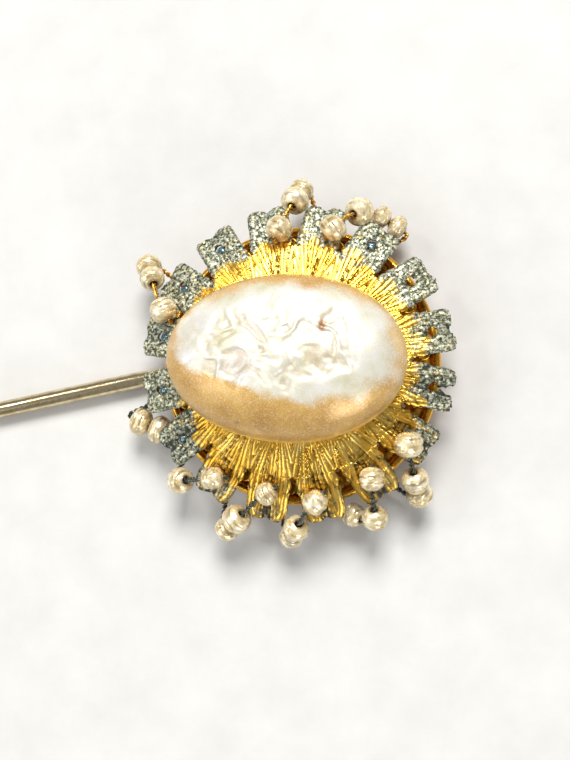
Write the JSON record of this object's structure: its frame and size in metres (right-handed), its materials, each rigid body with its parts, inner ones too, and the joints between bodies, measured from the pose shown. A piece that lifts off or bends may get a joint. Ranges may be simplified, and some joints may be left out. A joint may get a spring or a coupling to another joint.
{
  "type": "hat pin",
  "caption": "Hat pin with an oval pearly cabochon on a gilt sunburst of petals, pearl beads wired round its edge, and a long straight stem.",
  "frame": {"origin": "centre of the flat back cover, which lies against the hat", "axes": "+Z out of the head's face, stem along X with its point at -X"},
  "size_m": [0.117, 0.0393, 0.0154],
  "materials": {
    "cabochon_glass": "pearl lustre over tan",
    "cement": "dull clear amber",
    "gilt_brass": "bright gilt with grey patina at the tips",
    "plate_brass": "satin gilt",
    "stem_brass": "aged satin",
    "petal_stones": "small foiled stones",
    "wire_gilt": "twisted gilt wire",
    "wire_dark": "twisted wire, corroded dark",
    "bead_pearl": "cream pearl lustre"
  },
  "bodies": {
    "pin": {"cabochon": "cabochon_glass", "cabochon_cement": "cement", "sunburst": "gilt_brass", "backing_plate": "plate_brass", "spacer_tube": "plate_brass", "centre_rivet": "plate_brass", "back_cover": "plate_brass", "stem_socket": "plate_brass", "stem": "stem_brass", "petal_stone_1": "petal_stones", "petal_stone_2": "petal_stones", "petal_stone_3": "petal_stones", "petal_stone_4": "petal_stones", "petal_stone_5": "petal_stones", "petal_stone_6": "petal_stones", "bead_wire_1": "wire_gilt", "bead_wire_2": "wire_gilt", "bead_wire_3": "wire_dark", "bead_wire_4": "wire_dark", "bead_wire_5": "wire_dark", "bead_wire_6": "wire_dark", "bead_wire_7": "wire_dark", "bead_wire_8": "wire_dark", "bead_wire_9": "wire_gilt"},
    "bead_1_inner": {"bead_1_inner": "bead_pearl"},
    "bead_1_outer": {"bead_1_outer": "bead_pearl"},
    "bead_1_under": {"bead_1_under": "bead_pearl"},
    "bead_2_inner": {"bead_2_inner": "bead_pearl"},
    "bead_2_outer": {"bead_2_outer": "bead_pearl"},
    "bead_2_under": {"bead_2_under": "bead_pearl"},
    "bead_2_end": {"bead_2_end": "bead_pearl"},
    "bead_3_inner": {"bead_3_inner": "bead_pearl"},
    "bead_3_outer": {"bead_3_outer": "bead_pearl"},
    "bead_3_under": {"bead_3_under": "bead_pearl"},
    "bead_4_inner": {"bead_4_inner": "bead_pearl"},
    "bead_4_outer": {"bead_4_outer": "bead_pearl"},
    "bead_4_under": {"bead_4_under": "bead_pearl"},
    "bead_5_inner": {"bead_5_inner": "bead_pearl"},
    "bead_5_outer": {"bead_5_outer": "bead_pearl"},
    "bead_5_under": {"bead_5_under": "bead_pearl"},
    "bead_6_inner": {"bead_6_inner": "bead_pearl"},
    "bead_6_outer": {"bead_6_outer": "bead_pearl"},
    "bead_6_under": {"bead_6_under": "bead_pearl"},
    "bead_7_inner": {"bead_7_inner": "bead_pearl"},
    "bead_7_outer": {"bead_7_outer": "bead_pearl"},
    "bead_8_inner": {"bead_8_inner": "bead_pearl"},
    "bead_8_outer": {"bead_8_outer": "bead_pearl"},
    "bead_9_inner": {"bead_9_inner": "bead_pearl"},
    "bead_9_outer": {"bead_9_outer": "bead_pearl"},
    "bead_9_under": {"bead_9_under": "bead_pearl"}
  },
  "joints": [
    {"name": "bead_1_inner_spin", "type": "hinge", "parent": "pin", "child": "bead_1_inner", "pos_m": [0.00133, 0.01404, 0.00857], "axis": [0.5528, 0.7993, -0.2359], "continuous": true},
    {"name": "bead_1_outer_spin", "type": "hinge", "parent": "pin", "child": "bead_1_outer", "pos_m": [0.00326, 0.01721, 0.0062], "axis": [0.338, 0.6267, -0.7022], "continuous": true},
    {"name": "bead_1_under_spin", "type": "hinge", "parent": "pin", "child": "bead_1_under", "pos_m": [0.004, 0.01859, 0.00466], "axis": [0.338, 0.6267, -0.7022], "continuous": true},
    {"name": "bead_2_inner_spin", "type": "hinge", "parent": "pin", "child": "bead_2_inner", "pos_m": [0.00697, 0.01283, 0.0084], "axis": [0.8644, 0.4996, -0.0568], "continuous": true},
    {"name": "bead_2_outer_spin", "type": "hinge", "parent": "pin", "child": "bead_2_outer", "pos_m": [0.00984, 0.01447, 0.0061], "axis": [0.5025, 0.2847, -0.8164], "continuous": true},
    {"name": "bead_2_under_spin", "type": "hinge", "parent": "pin", "child": "bead_2_under", "pos_m": [0.01195, 0.01378, 0.00423], "axis": [0.6897, -0.687, -0.2287], "continuous": true},
    {"name": "bead_2_end_spin", "type": "hinge", "parent": "pin", "child": "bead_2_end", "pos_m": [0.01333, 0.0124, 0.00377], "axis": [0.6897, -0.687, -0.2287], "continuous": true},
    {"name": "bead_3_inner_spin", "type": "hinge", "parent": "pin", "child": "bead_3_inner", "pos_m": [0.01022, -0.01112, 0.00827], "axis": [-0.1331, -0.9757, -0.1742], "continuous": true},
    {"name": "bead_3_outer_spin", "type": "hinge", "parent": "pin", "child": "bead_3_outer", "pos_m": [0.00997, -0.01481, 0.00576], "axis": [-0.0018, -0.6531, -0.7573], "continuous": true},
    {"name": "bead_3_under_spin", "type": "hinge", "parent": "pin", "child": "bead_3_under", "pos_m": [0.00996, -0.01638, 0.00394], "axis": [-0.0018, -0.6531, -0.7573], "continuous": true},
    {"name": "bead_4_inner_spin", "type": "hinge", "parent": "pin", "child": "bead_4_inner", "pos_m": [0.00574, -0.01386, 0.00815], "axis": [-0.1799, -0.9833, -0.0279], "continuous": true},
    {"name": "bead_4_outer_spin", "type": "hinge", "parent": "pin", "child": "bead_4_outer", "pos_m": [0.00504, -0.0178, 0.0059], "axis": [-0.1231, -0.7047, -0.6988], "continuous": true},
    {"name": "bead_4_under_spin", "type": "hinge", "parent": "pin", "child": "bead_4_under", "pos_m": [0.00256, -0.01711, 0.0032], "axis": [-0.6843, 0.5693, -0.4557], "continuous": true},
    {"name": "bead_5_inner_spin", "type": "hinge", "parent": "pin", "child": "bead_5_inner", "pos_m": [-0.00055, -0.01509, 0.00822], "axis": [-0.8033, -0.5866, -0.1032], "continuous": true},
    {"name": "bead_5_outer_spin", "type": "hinge", "parent": "pin", "child": "bead_5_outer", "pos_m": [-0.00343, -0.01731, 0.00565], "axis": [-0.4757, -0.3861, -0.7903], "continuous": true},
    {"name": "bead_5_under_spin", "type": "hinge", "parent": "pin", "child": "bead_5_under", "pos_m": [-0.00443, -0.01812, 0.00399], "axis": [-0.4757, -0.3861, -0.7903], "continuous": true},
    {"name": "bead_6_inner_spin", "type": "hinge", "parent": "pin", "child": "bead_6_inner", "pos_m": [-0.00543, -0.01323, 0.0083], "axis": [-0.9258, -0.3543, -0.1318], "continuous": true},
    {"name": "bead_6_outer_spin", "type": "hinge", "parent": "pin", "child": "bead_6_outer", "pos_m": [-0.00957, -0.01518, 0.00578], "axis": [-0.7035, -0.3655, -0.6095], "continuous": true},
    {"name": "bead_6_under_spin", "type": "hinge", "parent": "pin", "child": "bead_6_under", "pos_m": [-0.01115, -0.016, 0.00441], "axis": [-0.7035, -0.3655, -0.6095], "continuous": true},
    {"name": "bead_7_inner_spin", "type": "hinge", "parent": "pin", "child": "bead_7_inner", "pos_m": [-0.01084, -0.01051, 0.00811], "axis": [-0.9908, 0.1254, -0.0502], "continuous": true},
    {"name": "bead_7_outer_spin", "type": "hinge", "parent": "pin", "child": "bead_7_outer", "pos_m": [-0.01501, -0.00993, 0.0054], "axis": [-0.6761, 0.0984, -0.7302], "continuous": true},
    {"name": "bead_8_inner_spin", "type": "hinge", "parent": "pin", "child": "bead_8_inner", "pos_m": [-0.01671, -0.00387, 0.00392], "axis": [-0.8327, 0.5453, -0.0965], "continuous": true},
    {"name": "bead_8_outer_spin", "type": "hinge", "parent": "pin", "child": "bead_8_outer", "pos_m": [-0.01867, -0.00259, 0.00369], "axis": [-0.8327, 0.5453, -0.0965], "continuous": true},
    {"name": "bead_9_inner_spin", "type": "hinge", "parent": "pin", "child": "bead_9_inner", "pos_m": [-0.01276, 0.00826, 0.00824], "axis": [-0.263, 0.9642, -0.0347], "continuous": true},
    {"name": "bead_9_outer_spin", "type": "hinge", "parent": "pin", "child": "bead_9_outer", "pos_m": [-0.01391, 0.01242, 0.00614], "axis": [-0.2063, 0.7434, -0.6363], "continuous": true},
    {"name": "bead_9_under_spin", "type": "hinge", "parent": "pin", "child": "bead_9_under", "pos_m": [-0.01437, 0.01409, 0.0047], "axis": [-0.2063, 0.7434, -0.6363], "continuous": true}
  ]
}
